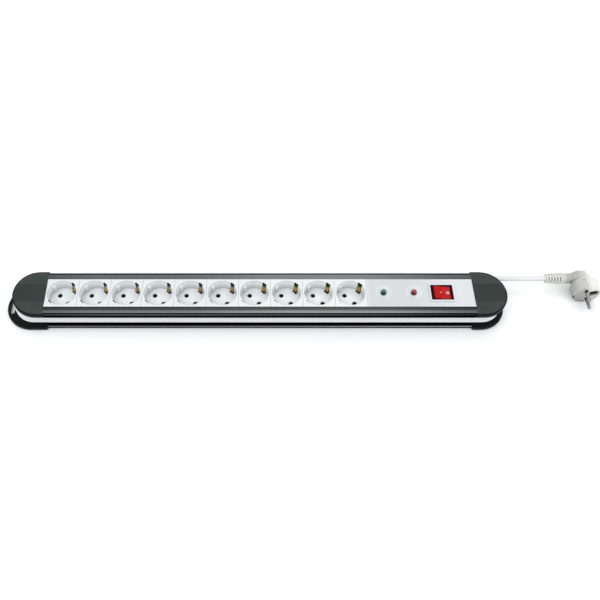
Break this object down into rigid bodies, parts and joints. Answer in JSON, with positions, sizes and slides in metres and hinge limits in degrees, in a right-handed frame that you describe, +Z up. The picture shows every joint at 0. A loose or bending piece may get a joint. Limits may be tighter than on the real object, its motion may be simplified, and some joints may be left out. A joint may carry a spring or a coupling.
{
  "type": "desk power strip",
  "caption": "Long desk power strip with earthed round sockets, surge lamps, a red rocker switch and a white cord wound in the base, ending in an angled plug.",
  "frame": {"origin": "middle of the strip's footprint, on the surface that it stands on; the loose cord and its plug are left out of that box", "axes": "+X along the strip towards the switch and the plug, +Y to the back, where the loose cord leaves, +Z up"},
  "size_m": [0.8487, 0.0882, 0.0454],
  "materials": {
    "white_plastic": "smooth white moulding",
    "brass": "stamped brass strip",
    "rail_metal": "anthracite anodised extrusion",
    "base_metal": "anthracite anodised extrusion",
    "cap_plastic": "dark grey moulding, fine texture",
    "foot_plastic": "dark grey moulding",
    "foot_rubber": "soft black pads",
    "screw_steel": "zinc plated",
    "liner_plastic": "natural moulding",
    "copper": "bare copper alloy",
    "led_green": "tinted lens",
    "led_red": "tinted lens",
    "board": "green circuit board",
    "varistor": "blue coated discs",
    "fuse": "ceramic tube",
    "collar_plastic": "bright white moulding",
    "switch_black": "black moulding",
    "rocker_red": "tinted red moulding",
    "core_insulation": "smooth insulation",
    "cord_sheath": "white sheath",
    "gland_plastic": "soft white moulding",
    "plug_plastic": "off-white moulding",
    "pin_nickel": "nickel plated brass"
  },
  "bodies": {
    "housing": {"rail_front": "rail_metal", "rail_back": "rail_metal", "base_plate": "base_metal", "end_cap_left": "cap_plastic", "end_cap_right": "cap_plastic", "foot_cap_left": "foot_plastic", "foot_cap_right": "foot_plastic", "rubber_feet": "foot_rubber", "housing_screws": "screw_steel", "insulation_tray": "liner_plastic", "socket_insert_01": "white_plastic", "socket_insert_02": "white_plastic", "socket_insert_03": "white_plastic", "socket_insert_04": "white_plastic", "socket_insert_05": "white_plastic", "socket_insert_06": "white_plastic", "socket_insert_07": "white_plastic", "socket_insert_08": "white_plastic", "socket_insert_09": "white_plastic", "socket_insert_10": "white_plastic", "earth_contact_01": "brass", "earth_contact_02": "brass", "earth_contact_03": "brass", "earth_contact_04": "brass", "earth_contact_05": "brass", "earth_contact_06": "brass", "earth_contact_07": "brass", "earth_contact_08": "brass", "earth_contact_09": "brass", "earth_contact_10": "brass", "live_bus_bar": "copper", "neutral_bus_bar": "copper", "earth_bus_bar": "brass", "control_panel": "white_plastic", "led_green": "led_green", "led_red": "led_red", "surge_board": "board", "varistors": "varistor", "thermal_fuse": "fuse", "switch_collar": "collar_plastic", "switch_body": "switch_black", "switch_terminals": "brass", "core_wires": "core_insulation", "cord_stub": "cord_sheath", "cord_clamp": "liner_plastic", "clamp_screws": "screw_steel", "cord_gland": "gland_plastic", "cord_winding": "cord_sheath", "cord_lead": "cord_sheath", "plug_body": "plug_plastic", "plug_relief": "plug_plastic", "plug_pins": "pin_nickel", "plug_earth_contacts": "pin_nickel"},
    "rocker": {"switch_rocker": "rocker_red", "switch_plungers": "liner_plastic", "plunger_springs": "screw_steel"},
    "arm_live": {"contact_arm_live": "brass"},
    "arm_neutral": {"contact_arm_neutral": "brass"}
  },
  "joints": [
    {"name": "rocker_tilt", "type": "hinge", "parent": "housing", "child": "rocker", "pos_m": [0.261, 0, 0.0375], "axis": [0, 1, 0], "range_deg": [-20, 0]},
    {"name": "contact_arm_live_tilt", "type": "hinge", "parent": "housing", "child": "arm_live", "pos_m": [0.261, 0.005, 0.0232], "axis": [0, 1, 0], "range_deg": [0, 12]},
    {"name": "contact_arm_neutral_tilt", "type": "hinge", "parent": "housing", "child": "arm_neutral", "pos_m": [0.261, -0.005, 0.0232], "axis": [0, 1, 0], "range_deg": [0, 12]}
  ],
  "couplings": [
    {"joint": "contact_arm_live_tilt", "follows": "rocker_tilt", "ratio": -0.6},
    {"joint": "contact_arm_neutral_tilt", "follows": "rocker_tilt", "ratio": -0.6}
  ]
}
